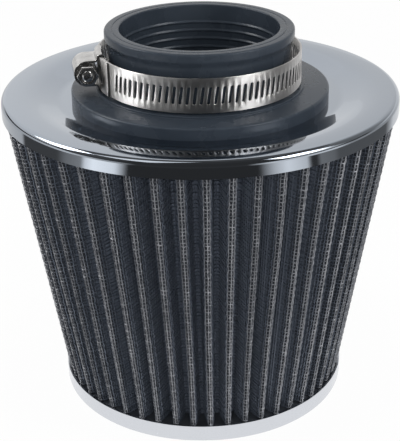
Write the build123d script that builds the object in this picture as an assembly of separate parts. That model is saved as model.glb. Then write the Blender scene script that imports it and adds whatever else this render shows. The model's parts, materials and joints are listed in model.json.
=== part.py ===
from build123d import *
import os
from math import atan, cos, degrees, radians, sin, sqrt, tan

# Cone air filter: a pleated cone of cotton under wire cloth, potted between a chromed cover and a
# metal end cap, with a rubber inlet neck and a worm-drive hose clamp resting on the neck's step.
# Millimetres. +Z runs up the inlet, and the origin is under the middle of the closed end.

# Clearances
fit_gap = 0.1
layer_gap = 0.05
screw_gap = 0.3
skirt_gap = 0.3
cap_gap = 0.7
cut_past = 1.0

# Pressed cover
cover_r = 75.3
cover_top_z = 123.2
cover_sheet = 0.6
cover_edge_r = 2.2
skirt_height = 6.2
annulus_width = 10.8
crease_round = 30.0
recess_depth = 3.1
land_r = 53.6
land_round = 10.0
slope_straight = 1.0
hole_lap = 5.2

# Rubber inlet neck
bore_r = 30.0
neck_wall = 4.2
neck_length = 21.3
lip_proud = 1.4
lip_height = 3.0
lip_taper = 2.2
rim_chamfer = 0.6
step_height = 0.9
step_ledge = 0.9
collar_r = 48.8
collar_height = 4.5
collar_edge = 0.9
flange_height = 5.25
flange_lap = 3.4
bell_mouth = 2.5

# End cap at the closed end
cap_r = 56.9
cap_height = 7.0
cap_sheet = 0.7
cap_edge_r = 1.4
panel_r = 42.0
panel_rise = 1.6
panel_slope = 2.4

# Pleated element
pleat_count = 52
pleat_phase = 1.0
pleat_depth = 12.0
crest_width = 1.5
crest_shoulder = 0.8
crest_drop = 0.6
valley_width = 1.7
mesh_thickness = 0.3
media_thickness = 0.5
end_embed = 3.0
cover_embed = 1.1
seal_wall = 1.6
seal_rim_drop = 0.5

# Hose clamp
band_slack = 3.2
band_width = 12.7
band_thickness = 0.6
band_points = 40
slot_pitch = 2.54
slot_length = 6.6
slot_width = 1.2
slot_slant = 8.0
housing_azimuth = 189.5
housing_length = 12.0
housing_setback = 1.0
housing_wall = 0.7
tail_past_housing = 20.0
lead_before_housing = 12.0
plain_lead = 40.0
plain_tail = 4.0
worm_r = 3.9
shank_r = 2.9
head_flats = 7.0
head_length = 3.1
head_chamfer = 0.5
cross_width = 1.1
cross_length = 4.6
cross_depth = 1.5

# Heights that follow from the sizes above
hem_z = cover_top_z - skirt_height
land_z = cover_top_z - recess_depth
land_under_z = land_z - cover_sheet
collar_top_z = land_z + collar_height
step_top_z = collar_top_z + step_height
rim_z = step_top_z + neck_length
band_bottom_z = step_top_z + housing_wall + fit_gap
band_middle_z = band_bottom_z + band_width / 2
end_seal_top_z = cap_height - seal_rim_drop
pleat_bottom_z = end_seal_top_z - end_embed
pleat_top_z = hem_z + cover_embed

# Radii that follow from the sizes above
neck_r = bore_r + neck_wall
lip_r = neck_r + lip_proud
band_inner_r = neck_r + band_slack
band_climb = band_thickness + layer_gap
band_start = housing_azimuth - lead_before_housing
band_sweep = 360 + lead_before_housing + tail_past_housing
tail_outer_r = band_inner_r + band_climb * band_sweep / 360 + band_thickness
step_r = tail_outer_r + step_ledge
cover_hole_r = collar_r - hole_lap
crease_r = cover_r - annulus_width
skirt_inner_r = cover_r - cover_sheet
cap_inner_r = cap_r - cap_sheet
cap_inner_edge = cap_edge_r / 2
crest_top_r = skirt_inner_r - skirt_gap
crest_bottom_r = cap_inner_r - cap_gap
fold_taper = crest_bottom_r / crest_top_r
fold_slope = (crest_top_r - crest_bottom_r) / (pleat_top_z - pleat_bottom_z)
lip_draw_in = fold_slope * cover_embed
fold_thickness = mesh_thickness + layer_gap + media_thickness
recess_slope = recess_depth / (crease_r - land_r)
recess_bend = tan(atan(recess_slope) / 2)
recess_run = sqrt((crease_r - land_r) ** 2 + recess_depth**2)
bend_room = (recess_run - slope_straight) / recess_bend
bend_share = min(1, bend_room / (crease_round + land_round))
crease_fillet = crease_round * bend_share
land_fillet = land_round * bend_share
crease_reach = crease_fillet * recess_bend
screw_r = tail_outer_r + screw_gap + worm_r


def turned(outline):
    """Solid of revolution about Z from corners (radius, height, corner radius)."""
    corners = [(radius, height) for radius, height, rounding in outline]
    roundings = [rounding for radius, height, rounding in outline]
    profile = FilletPolyline(*corners, radius=roundings, close=True)
    return revolve(Plane.XZ * make_face(profile), Axis.Z)


def recess_under_z(radius):
    """Height of the underside of the cover's conical recess at a radius."""
    sheet_drop = cover_sheet * sqrt(1 + recess_slope**2)
    return land_z + (radius - land_r) * recess_slope - sheet_drop


def radius_under_recess(height):
    """Radius at which the underside of the recess has a height."""
    return land_r + (height - recess_under_z(land_r)) / recess_slope


def top_cover():
    """Pressed cover: skirt, rounded edge, flat annulus, shallow recess and a land for the neck."""
    annulus_under_z = cover_top_z - cover_sheet
    return turned(
        [
            (cover_r, hem_z, 0),
            (cover_r, cover_top_z, cover_edge_r),
            (crease_r, cover_top_z, crease_fillet),
            (land_r, land_z, land_fillet),
            (cover_hole_r, land_z, 0),
            (cover_hole_r, land_under_z, 0),
            (radius_under_recess(land_under_z), land_under_z, land_fillet + cover_sheet),
            (radius_under_recess(annulus_under_z), annulus_under_z, crease_fillet - cover_sheet),
            (skirt_inner_r - cover_edge_r + cover_sheet, annulus_under_z, 0),
            (skirt_inner_r, annulus_under_z - cover_edge_r + cover_sheet, 0),
            (skirt_inner_r, hem_z, 0),
        ]
    )


def inlet_neck():
    """Rubber moulding: bore, lip, step for the clamp, collar, and a groove that grips the cover."""
    groove_r = cover_hole_r - fit_gap
    flange_r = cover_hole_r + flange_lap
    bottom_z = land_under_z - flange_height
    lip_under_z = rim_z - lip_height - lip_taper
    return turned(
        [
            (bore_r, bottom_z + bell_mouth, 0),
            (bore_r + bell_mouth, bottom_z, 0),
            (flange_r, bottom_z, 0),
            (flange_r, land_under_z, 0),
            (groove_r, land_under_z, 0),
            (groove_r, land_z, 0),
            (collar_r, land_z, 0),
            (collar_r, collar_top_z - collar_edge, 0),
            (collar_r - collar_edge, collar_top_z, 0),
            (step_r, collar_top_z, 0),
            (step_r, step_top_z, 0),
            (neck_r, step_top_z, 0),
            (neck_r, lip_under_z, 0),
            (lip_r, lip_under_z + lip_taper, 0),
            (lip_r, rim_z - rim_chamfer, 0),
            (lip_r - rim_chamfer, rim_z, 0),
            (bore_r, rim_z, 0),
        ]
    )


def top_seal():
    """Potting ring under the cover, with a lip inside the pleat ends."""
    valley_r = crest_top_r - pleat_depth - fold_thickness - fit_gap
    wall_r = valley_r - lip_draw_in - seal_wall
    top_z = cover_top_z - cover_sheet
    edge = cover_edge_r - cover_sheet
    return turned(
        [
            (skirt_inner_r - fit_gap, pleat_top_z, 0),
            (skirt_inner_r - fit_gap, top_z - edge - fit_gap, 0),
            (skirt_inner_r - edge - fit_gap, top_z, 0),
            (crease_r + crease_reach + fit_gap, top_z, 0),
            (wall_r, recess_under_z(wall_r) - fit_gap, 0),
            (wall_r, hem_z, 0),
            (valley_r - lip_draw_in, hem_z, 0),
            (valley_r, pleat_top_z, 0),
        ]
    )


def end_cap():
    """Pressed cup with a rounded foot and a middle panel raised off the ground."""
    floor_r = panel_r + panel_slope
    return turned(
        [
            (0, panel_rise, 0),
            (panel_r, panel_rise, 0),
            (floor_r, 0, 0),
            (cap_r, 0, cap_edge_r),
            (cap_r, cap_height, 0),
            (cap_inner_r, cap_height, 0),
            (cap_inner_r, cap_sheet + cap_inner_edge, 0),
            (cap_inner_r - cap_inner_edge, cap_sheet, 0),
            (floor_r, cap_sheet, 0),
            (panel_r, panel_rise + cap_sheet, 0),
            (0, panel_rise + cap_sheet, 0),
        ]
    )


def end_seal():
    """Potting disc in the end cap: a shelf under the pleat ends and a plug inside them."""
    outer_r = cap_inner_r - fit_gap
    plug_r = crest_bottom_r - pleat_depth * fold_taper - fold_thickness - fit_gap
    return turned(
        [
            (0, panel_rise + cap_sheet, 0),
            (panel_r, panel_rise + cap_sheet, 0),
            (panel_r + panel_slope, cap_sheet, 0),
            (outer_r - cap_inner_edge, cap_sheet, 0),
            (outer_r, cap_sheet + cap_inner_edge, 0),
            (outer_r, pleat_bottom_z, 0),
            (plug_r, pleat_bottom_z, 0),
            (plug_r, end_seal_top_z, 0),
            (0, end_seal_top_z, 0),
        ]
    )


def fold_ring(scale, height):
    """Corners of the folded sheet's outer face at a height, pleat by pleat round the cone."""
    crest_r = crest_top_r * scale
    shoulder_r = (crest_top_r - crest_drop) * scale
    valley_r = (crest_top_r - pleat_depth) * scale
    crest_half = degrees(crest_width / 2 / crest_top_r)
    shoulder_half = degrees((crest_width / 2 + crest_shoulder) / crest_top_r)
    valley_half = degrees(valley_width / 2 / (crest_top_r - pleat_depth))
    pleat_angle = 360 / pleat_count
    ring = []
    for pleat in range(pleat_count):
        middle = pleat_phase + pleat * pleat_angle
        valley = middle + pleat_angle / 2
        ring.append(Vector(shoulder_r, 0, height).rotate(Axis.Z, middle - shoulder_half))
        ring.append(Vector(crest_r, 0, height).rotate(Axis.Z, middle - crest_half))
        ring.append(Vector(crest_r, 0, height).rotate(Axis.Z, middle + crest_half))
        ring.append(Vector(shoulder_r, 0, height).rotate(Axis.Z, middle + shoulder_half))
        ring.append(Vector(valley_r, 0, height).rotate(Axis.Z, valley - valley_half))
        ring.append(Vector(valley_r, 0, height).rotate(Axis.Z, valley + valley_half))
    return ring


def set_in(ring, depth):
    """The ring moved inwards by a depth, each corner on the mitre of its two sides."""
    moved = []
    for before, corner, after in zip(ring[-1:] + ring[:-1], ring, ring[1:] + ring[:1]):
        inward_before = (corner - before).rotate(Axis.Z, 90).normalized()
        inward_after = (after - corner).rotate(Axis.Z, 90).normalized()
        mitre = (inward_before + inward_after) / (1 + inward_before.dot(inward_after))
        moved.append(corner + mitre * depth)
    return moved


def folded_wall(low_ring, high_ring):
    """Flat facets between two rings with the same number of corners."""
    low_next = low_ring[1:] + low_ring[:1]
    high_next = high_ring[1:] + high_ring[:1]
    corners = zip(low_ring, low_next, high_next, high_ring)
    return [Face(Wire.make_polygon(facet)) for facet in corners]


def pleated_sheet(depth, thickness):
    """Folded sheet of a thickness, with its outer face a depth inside the element's outer face."""
    low = fold_ring(fold_taper, pleat_bottom_z)
    high = fold_ring(1, pleat_top_z)
    low_out = set_in(low, depth)
    low_in = set_in(low, depth + thickness)
    high_out = set_in(high, depth)
    high_in = set_in(high, depth + thickness)
    faces = folded_wall(low_out, high_out) + folded_wall(low_in, high_in)
    faces.append(Face(Wire.make_polygon(low_out), [Wire.make_polygon(low_in)]))
    faces.append(Face(Wire.make_polygon(high_out), [Wire.make_polygon(high_in)]))
    return Solid(Shell(faces))


def outer_mesh():
    """Wire cloth over the folds, as one thin folded sheet."""
    return pleated_sheet(0, mesh_thickness)


def filter_media():
    """Cotton media folded under the wire cloth."""
    return pleated_sheet(mesh_thickness + layer_gap, media_thickness)


def band_radius(azimuth):
    """Inner radius of the band, which climbs by its own thickness in one turn."""
    return band_inner_r + band_climb * (azimuth - band_start) / 360


def band_edge(rise):
    """Spiral curve of the band at a rise above its inner face."""
    points = []
    for step in range(band_points + 1):
        azimuth = band_start + band_sweep * step / band_points
        radius = band_radius(azimuth) + rise
        points.append((radius * cos(radians(azimuth)), radius * sin(radians(azimuth))))
    return Spline(*points)


def slot_cutters():
    """Slanted slots that the worm drives, each cut through its own turn of the band."""
    pitch_angle = degrees(slot_pitch / (band_inner_r + band_thickness))
    azimuth = band_start + plain_lead
    cutters = []
    while azimuth < band_start + band_sweep - plain_tail:
        middle_r = band_radius(azimuth) + band_thickness / 2
        cutter = Box(band_thickness + layer_gap, slot_width, slot_length)
        place = Rot(0, 0, azimuth) * Pos(middle_r, 0, band_middle_z) * Rot(-slot_slant, 0, 0)
        cutters.append(place * cutter)
        azimuth += pitch_angle
    return cutters


def clamp_band():
    """Slotted steel strip, one turn and a tail that lies over its own start."""
    inner = band_edge(0)
    outer = band_edge(band_thickness)
    strip = make_face([inner, Line(inner @ 1, outer @ 1), outer, Line(outer @ 0, inner @ 0)])
    band = Pos(0, 0, band_bottom_z) * extrude(strip, band_width)
    return band - slot_cutters()


def clamp_housing():
    """Stamped screw housing: a dome over the worm, flanges, and a saddle round the band."""
    dome_inner_r = worm_r + screw_gap
    dome_r = dome_inner_r + housing_wall
    band_half = band_width / 2 + fit_gap
    saddle_half = band_half + housing_wall
    saddle_r = band_inner_r - fit_gap - housing_wall
    channel_r = tail_outer_r + fit_gap
    flange_r = channel_r + housing_wall
    section = Pos(0, (flange_r + saddle_r) / 2) * Rectangle(2 * saddle_half, flange_r - saddle_r)
    section += Pos(0, screw_r) * Circle(dome_r)
    section += Pos(0, (flange_r + screw_r) / 2) * Rectangle(2 * dome_r, screw_r - flange_r)
    body = along_screw(section, housing_back, housing_front)
    saddle_hollow = Pos(0, 0, band_middle_z) * Cylinder(saddle_r, 2 * (saddle_half + cut_past))
    channel = Pos(0, 0, band_middle_z) * Cylinder(channel_r, 2 * band_half)
    channel -= Pos(0, 0, band_middle_z) * Cylinder(band_inner_r - fit_gap, 2 * band_half)
    cavity = Pos(0, screw_r) * Circle(dome_inner_r)
    cavity += Pos(0, (channel_r + screw_r) / 2) * Rectangle(2 * dome_inner_r, screw_r - channel_r + cut_past)
    hollow = along_screw(cavity, housing_back, housing_front - housing_wall)
    shank_hole = along_screw(Pos(0, screw_r) * Circle(shank_r + fit_gap), housing_back, housing_front)
    return body - saddle_hollow - channel - hollow - shank_hole


def clamp_screw():
    """Worm screw: plain worm, shank through the housing's end wall, and a hex head with a cross."""
    worm_end = housing_front - housing_wall - fit_gap
    head_back = housing_front + fit_gap
    head_front = head_back + head_length
    corner_r = head_flats / sqrt(3)
    centre = Pos(0, screw_r)
    worm = along_screw(centre * Circle(worm_r), housing_back, worm_end)
    shank = along_screw(centre * Circle(shank_r), worm_end, head_back)
    head = along_screw(centre * RegularPolygon(corner_r, 6), head_back, head_front)
    crown = Cone(corner_r + head_length, corner_r - head_chamfer, head_length + head_chamfer)
    head &= screw_frame * Pos(0, screw_r, (head_back + head_front - head_chamfer) / 2) * crown
    cross = Rectangle(cross_length, cross_width) + Rectangle(cross_width, cross_length)
    head -= along_screw(centre * cross, head_front - cross_depth, head_front)
    return worm + shank + head


def along_screw(section, start, end):
    """Section across the screw, drawn as (height, radius), extruded along the screw's axis."""
    return screw_frame * Pos(0, 0, start) * extrude(section, end - start)


# The screw's frame: local Z along the screw towards its head, local Y outwards, local X upwards
screw_direction = Vector(0, 1, 0).rotate(Axis.Z, housing_azimuth)
screw_frame = Plane((0, 0, band_middle_z), x_dir=(0, 0, 1), z_dir=screw_direction)
housing_back = -housing_length / 2 - housing_setback
housing_front = housing_length / 2 - housing_setback

pieces = {
    "inlet_neck": inlet_neck,
    "top_cover": top_cover,
    "top_seal": top_seal,
    "outer_mesh": outer_mesh,
    "filter_media": filter_media,
    "end_seal": end_seal,
    "end_cap": end_cap,
    "clamp_band": clamp_band,
    "clamp_housing": clamp_housing,
    "clamp_screw": clamp_screw,
}

os.makedirs("parts", exist_ok=True)
for name, make in pieces.items():
    export_step(make(), f"parts/{name}.step")
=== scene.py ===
"""Cone air filter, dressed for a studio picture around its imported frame.

Pieces are modelled in millimetres and brought to metres when they are fitted to the frame.
"""

import json
import logging
import math
import random
from collections.abc import Callable, Sequence
from dataclasses import dataclass
from enum import Enum

import bpy
from mathutils import Matrix, Vector


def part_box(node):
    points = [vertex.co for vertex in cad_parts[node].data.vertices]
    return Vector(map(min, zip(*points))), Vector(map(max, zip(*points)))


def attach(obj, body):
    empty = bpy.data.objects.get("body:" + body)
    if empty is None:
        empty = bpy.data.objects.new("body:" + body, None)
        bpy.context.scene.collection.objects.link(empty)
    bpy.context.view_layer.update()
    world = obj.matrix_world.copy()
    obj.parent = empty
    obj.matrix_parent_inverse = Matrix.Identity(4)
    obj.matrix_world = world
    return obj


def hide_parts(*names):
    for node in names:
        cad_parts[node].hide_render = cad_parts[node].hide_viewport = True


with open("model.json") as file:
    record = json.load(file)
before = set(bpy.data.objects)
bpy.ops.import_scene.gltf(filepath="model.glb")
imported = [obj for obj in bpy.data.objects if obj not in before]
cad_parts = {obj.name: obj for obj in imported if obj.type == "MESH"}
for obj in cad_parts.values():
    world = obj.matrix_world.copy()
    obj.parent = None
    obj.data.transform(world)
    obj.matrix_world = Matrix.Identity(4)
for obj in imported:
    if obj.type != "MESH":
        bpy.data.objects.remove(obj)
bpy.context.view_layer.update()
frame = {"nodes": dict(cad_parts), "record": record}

LOG = logging.getLogger("cone_filter")
MM = 0.001
FULL_TURN = 2 * math.pi
WELD = 1e-4
ARC_STEPS = 6
NOISE_RANGE = (0.3, 0.7)
TINT_RANGE = (0.32, 0.68)

Piece = bpy.types.Object
Material = bpy.types.Material
Socket = bpy.types.NodeSocket
Value = Socket | float | tuple[float, ...]
Colour = tuple[float, float, float]
Range = tuple[float, float]


class Body(Enum):
    """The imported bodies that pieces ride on."""

    FILTER = "filter"
    SCREW = "worm_screw"


class Slot(Enum):
    """The record's material slots."""

    NECK = "neck_rubber"
    COVER = "cover_chrome"
    POTTING = "potting"
    WIRE = "wire_cloth"
    MEDIA = "cotton_media"
    CAP = "cap_metal"
    CLAMP = "clamp_steel"
    SCREW = "screw_steel"


@dataclass(frozen=True)
class NodeBox:
    """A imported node's box at rest, in millimetres."""

    low: Vector
    high: Vector

    @classmethod
    def of(cls, node: str) -> "NodeBox":
        """Read a node's box from the frame.

        Args:
            node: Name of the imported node.

        Returns:
            The box in millimetres.
        """
        low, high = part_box(node)
        return cls(Vector(low) / MM, Vector(high) / MM)


@dataclass(frozen=True)
class ConeShape:
    """The pleated cone's outer face in metres: its radius at the top, and how it narrows downwards."""

    crest_r: float
    top_z: float
    slope: float


# Finishes


@dataclass(frozen=True)
class Grain:
    """A soft noise: features in a unit of length, octaves of finer noise and stretch along each axis."""

    scale: float
    detail: float = 2.0
    stretch: tuple[float, float, float] = (1, 1, 1)


@dataclass(frozen=True)
class Relief:
    """How strongly a bump shows, and its depth in metres."""

    strength: float
    depth: float


class NodeBench:
    """The nodes of a material or a world in the making, with short ways to add to them."""

    def __init__(self, owner: Material | bpy.types.World) -> None:
        """Start with Blender's plain nodes.

        Args:
            owner: Material or world that the nodes belong to.
        """
        owner.use_nodes = True
        self.tree = owner.node_tree

    @property
    def shader(self) -> bpy.types.Node:
        """The material's own shader."""
        return self.tree.nodes["Principled BSDF"]

    def feed(self, node: bpy.types.Node, values: dict[str | int, Value]) -> None:
        """Give sockets of a node a link or a fixed value.

        Args:
            node: The node.
            values: Name or number of each socket, and the socket, number or colour that goes in.
        """
        for key, value in values.items():
            if isinstance(value, Socket):
                self.tree.links.new(value, node.inputs[key])
            else:
                node.inputs[key].default_value = value

    def add(
        self, kind: str, values: dict[str | int, Value] | None = None, **settings: object
    ) -> bpy.types.Node:
        """Add a node.

        Args:
            kind: Blender's type name of the node.
            values: What goes into its sockets.
            settings: Properties to set on it.

        Returns:
            The new node.
        """
        node = self.tree.nodes.new(kind)
        for name, value in settings.items():
            setattr(node, name, value)
        self.feed(node, values or {})
        return node

    def compute(self, operation: str, *values: Value) -> Socket:
        """The result of a maths node with these inputs."""
        return self.add("ShaderNodeMath", dict(enumerate(values)), operation=operation).outputs[0]

    def place(self) -> Socket:
        """The place on the piece, in metres."""
        return self.add("ShaderNodeTexCoord").outputs["Object"]

    def axes(self, source: Socket) -> tuple[Socket, ...]:
        """The X, Y and Z of a vector."""
        return tuple(self.add("ShaderNodeSeparateXYZ", {0: source}).outputs)

    def flat_vector(self, across: Socket, up: Socket) -> Socket:
        """A vector with these for X and Y."""
        return self.add("ShaderNodeCombineXYZ", {"X": across, "Y": up}).outputs[0]

    def rings(self) -> Socket:
        """Turn the place into radius and height, so that a pattern runs round the axis.

        Returns:
            The radius as X and the height as Y.
        """
        x, y, height = self.axes(self.place())
        radius = self.add("ShaderNodeVectorMath", {0: self.flat_vector(x, y)}, operation="LENGTH")
        return self.flat_vector(radius.outputs["Value"], height)

    def attribute(self, name: str) -> Socket:
        """A vector that the piece's mesh carries."""
        return self.add("ShaderNodeAttribute", attribute_name=name).outputs["Vector"]

    def map_range(self, source: Socket, start: Range, end: Range = (0, 1), **settings: object) -> Socket:
        """Map one range of values to another.

        Args:
            source: The value.
            start: Range that it is taken from.
            end: Range that it is brought to.
            settings: Properties to set on the node.

        Returns:
            The mapped value.
        """
        names = ("Value", "From Min", "From Max", "To Min", "To Max")
        values = dict(zip(names, (source, *start, *end)))
        return self.add("ShaderNodeMapRange", values, **settings).outputs[0]

    def outness(self, cone: ConeShape, shares: Range) -> Socket:
        """Say how far out on the folds a place is.

        Args:
            cone: Shape of the folds' outer face.
            shares: Shares of the crest's radius where the value is 0 and where it is 1.

        Returns:
            The value, rising smoothly from 0 to 1.
        """
        radius, height = self.axes(self.rings())[:2]
        foot_r = cone.crest_r - cone.slope * cone.top_z
        crest_r = self.compute("MULTIPLY_ADD", height, cone.slope, foot_r)
        share = self.compute("DIVIDE", radius, crest_r)
        return self.map_range(share, shares, interpolation_type="SMOOTHSTEP")

    def noise(self, source: Socket, grain: Grain) -> Socket:
        """Add soft noise.

        Args:
            source: Coordinates.
            grain: Kind of noise.

        Returns:
            The noise, mostly within the noise range.
        """
        mapping = self.add("ShaderNodeMapping", {"Vector": source, "Scale": grain.stretch})
        values = {"Vector": mapping.outputs[0], "Scale": grain.scale, "Detail": grain.detail}
        return self.add("ShaderNodeTexNoise", values).outputs["Fac"]

    def spread(self, source: Socket, ends: Range) -> Socket:
        """Map noise to a range, from where it is low to where it is high."""
        return self.map_range(source, NOISE_RANGE, ends)

    def ramp(self, source: Socket, stops: Sequence[tuple[float, Colour]]) -> Socket:
        """Colour a value by a ramp.

        Args:
            source: The value.
            stops: Place from 0 to 1 and colour of each stop.

        Returns:
            The colour.
        """
        node = self.add("ShaderNodeValToRGB", {0: source})
        elements = node.color_ramp.elements
        while len(elements) > 1:
            elements.remove(elements[-1])
        for index, (position, colour) in enumerate(stops):
            element = elements.new(position) if index else elements[0]
            element.position = position
            element.color = (*colour, 1)
        return node.outputs[0]

    def tint(self, source: Socket, dark: Colour, light: Colour) -> Socket:
        """Blend two colours by noise, the dark one where it is low."""
        return self.ramp(source, list(zip(TINT_RANGE, (dark, light))))

    def blend(self, share: Socket, first: Value, second: Value) -> Socket:
        """Blend two colours.

        Args:
            share: 0 for the first colour and 1 for the second.
            first: First colour, with its alpha where it is no socket.
            second: Second colour, likewise.

        Returns:
            The blended colour.
        """
        values = {"Factor": share, "A": first, "B": second}
        return self.add("ShaderNodeMix", values, data_type="RGBA").outputs["Result"]

    def bump(self, *layers: tuple[Socket, Relief]) -> None:
        """Stack bumps on the shader's normal.

        Args:
            layers: Height and relief of each bump.
        """
        normal = {}
        for height, relief in layers:
            values = {"Height": height, "Strength": relief.strength, "Distance": relief.depth}
            normal = {"Normal": self.add("ShaderNodeBump", values | normal).outputs[0]}
        self.feed(self.shader, normal)

    def show(self, surface: Socket) -> None:
        """Make this the material's surface."""
        self.feed(self.tree.nodes["Material Output"], {"Surface": surface})


@dataclass(frozen=True)
class Finish:
    """A finish of the filter, made as a node material of its name."""

    name: str

    def make(self) -> Material:
        """Build the node material.

        Returns:
            The material.
        """
        material = bpy.data.materials.new(self.name)
        self.dress(NodeBench(material))
        return material

    def dress(self, bench: NodeBench) -> None:
        """Set up the shader, as each finish says."""
        raise NotImplementedError


@dataclass(frozen=True)
class RubberFinish(Finish):
    """Satin black moulded rubber with faint mould lines round the axis."""

    dark: Colour = (0.033, 0.0425, 0.0560)
    light: Colour = (0.042, 0.0530, 0.0690)
    roughness: Range = (0.22, 0.32)
    gloss: float = 0.19
    cloud: Grain = Grain(85, 4)
    mould_lines: Grain = Grain(900, stretch=(0.4, 1, 1))
    line_relief: Relief = Relief(0.16, 0.00006)
    skin: Grain = Grain(2600)
    skin_relief: Relief = Relief(0.10, 0.00003)

    def dress(self, bench: NodeBench) -> None:
        """Lay the rubber on the shader.

        Args:
            bench: Nodes of the material.
        """
        cloud = bench.noise(bench.place(), self.cloud)
        looks = {
            "Base Color": bench.tint(cloud, self.dark, self.light),
            "Roughness": bench.spread(cloud, self.roughness),
            "Specular IOR Level": self.gloss,
        }
        bench.feed(bench.shader, looks)
        lines = bench.noise(bench.rings(), self.mould_lines)
        skin = bench.noise(bench.place(), self.skin)
        bench.bump((lines, self.line_relief), (skin, self.skin_relief))


@dataclass(frozen=True)
class ChromeFinish(Finish):
    """Bright plated sheet with soft waviness and spinning marks."""

    colour: Colour = (0.384, 0.420, 0.470)
    roughness: Range = (0.045, 0.085)
    smear: Grain = Grain(45, 5)
    waves: Grain = Grain(30, 1)
    wave_relief: Relief = Relief(0.05, 0.0004)
    marks: Grain = Grain(1500, 3)
    mark_relief: Relief = Relief(0.012, 0.00003)

    def dress(self, bench: NodeBench) -> None:
        """Lay the chrome on the shader.

        Args:
            bench: Nodes of the material.
        """
        smear = bench.noise(bench.place(), self.smear)
        looks = {
            "Base Color": (*self.colour, 1),
            "Metallic": 1.0,
            "Roughness": bench.spread(smear, self.roughness),
        }
        bench.feed(bench.shader, looks)
        waves = bench.noise(bench.place(), self.waves)
        marks = bench.noise(bench.rings(), self.marks)
        bench.bump((waves, self.wave_relief), (marks, self.mark_relief))


@dataclass(frozen=True)
class SatinMetalFinish(Finish):
    """Bright metal with fine turning lines."""

    colour: Colour = (0.66, 0.68, 0.72)
    roughness: Range = (0.16, 0.26)
    smear: Grain = Grain(120, 4)
    lines: Grain = Grain(2200)
    line_relief: Relief = Relief(0.06, 0.00003)

    def dress(self, bench: NodeBench) -> None:
        """Lay the metal on the shader.

        Args:
            bench: Nodes of the material.
        """
        smear = bench.noise(bench.place(), self.smear)
        looks = {
            "Base Color": (*self.colour, 1),
            "Metallic": 1.0,
            "Roughness": bench.spread(smear, self.roughness),
        }
        bench.feed(bench.shader, looks)
        bench.bump((bench.noise(bench.rings(), self.lines), self.line_relief))


@dataclass(frozen=True)
class StripSteelFinish(Finish):
    """Rolled stainless strip with grain along its length."""

    attribute: str
    dark: Colour = (0.68, 0.665, 0.65)
    light: Colour = (0.84, 0.825, 0.81)
    roughness: Range = (0.46, 0.54)
    brushing: float = 1.0
    brushing_turn: float = 0.25
    grain: Grain = Grain(5.0, 3, (0.02, 1, 1))
    grain_relief: Relief = Relief(0.10, 0.00004)
    stain: Grain = Grain(0.08, 3)

    def dress(self, bench: NodeBench) -> None:
        """Lay the steel on the shader.

        Args:
            bench: Nodes of the material.
        """
        flat = bench.attribute(self.attribute)
        grain = bench.noise(flat, self.grain)
        looks = {
            "Base Color": bench.tint(bench.noise(flat, self.stain), self.dark, self.light),
            "Metallic": 1.0,
            "Roughness": bench.spread(grain, self.roughness),
            "Anisotropic": self.brushing,
            "Anisotropic Rotation": self.brushing_turn,
        }
        bench.feed(bench.shader, looks)
        bench.bump((grain, self.grain_relief))


@dataclass(frozen=True)
class TurnedSteelFinish(Finish):
    """Pressed or turned steel with fine scratches and a little stain."""

    dark: Colour = (0.42, 0.41, 0.40)
    light: Colour = (0.60, 0.59, 0.575)
    roughness: Range = (0.10, 0.20)
    stain: Grain = Grain(260, 4)
    scratches: Grain = Grain(2400, stretch=(0.15, 1, 1))
    scratch_relief: Relief = Relief(0.08, 0.00003)

    def dress(self, bench: NodeBench) -> None:
        """Lay the steel on the shader.

        Args:
            bench: Nodes of the material.
        """
        stain = bench.noise(bench.place(), self.stain)
        scratches = bench.noise(bench.place(), self.scratches)
        looks = {
            "Base Color": bench.tint(stain, self.dark, self.light),
            "Metallic": 1.0,
            "Roughness": bench.spread(scratches, self.roughness),
        }
        bench.feed(bench.shader, looks)
        bench.bump((scratches, self.scratch_relief))


@dataclass(frozen=True)
class WireFinish(Finish):
    """Coated wire, with painted light on the crests of the folds and painted shade down the flanks, and
    smoother where it is lighter.
    """

    cone: ConeShape
    # The flanks keep the coated colour, which is the coat's own colour kept dark as painted shade. The
    # two crest tints are painted light where light falls on the crests, varied by noise.
    coated: Colour = (0.115, 0.135, 0.172)
    painted_crest_dark: Colour = (0.145, 0.152, 0.168)
    painted_crest_light: Colour = (0.345, 0.352, 0.375)
    painted_crest_shares: Range = (0.976, 1.0)
    roughness: Range = (0.58, 0.40)
    metallic: float = 0.35
    coat: Grain = Grain(480, 4)

    def dress(self, bench: NodeBench) -> None:
        """Lay the coated wire on the shader.

        Args:
            bench: Nodes of the material.
        """
        coat = bench.noise(bench.place(), self.coat)
        # Painted light: the crest tint stands for light falling on the crests, and it blends into the
        # darker coat down the flanks as painted shade.
        painted_crest = bench.tint(coat, self.painted_crest_dark, self.painted_crest_light)
        outness = bench.outness(self.cone, self.painted_crest_shares)
        looks = {
            "Base Color": bench.blend(outness, (*self.coated, 1), painted_crest),
            "Metallic": self.metallic,
            "Roughness": bench.spread(coat, self.roughness),
        }
        bench.feed(bench.shader, looks)


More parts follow.
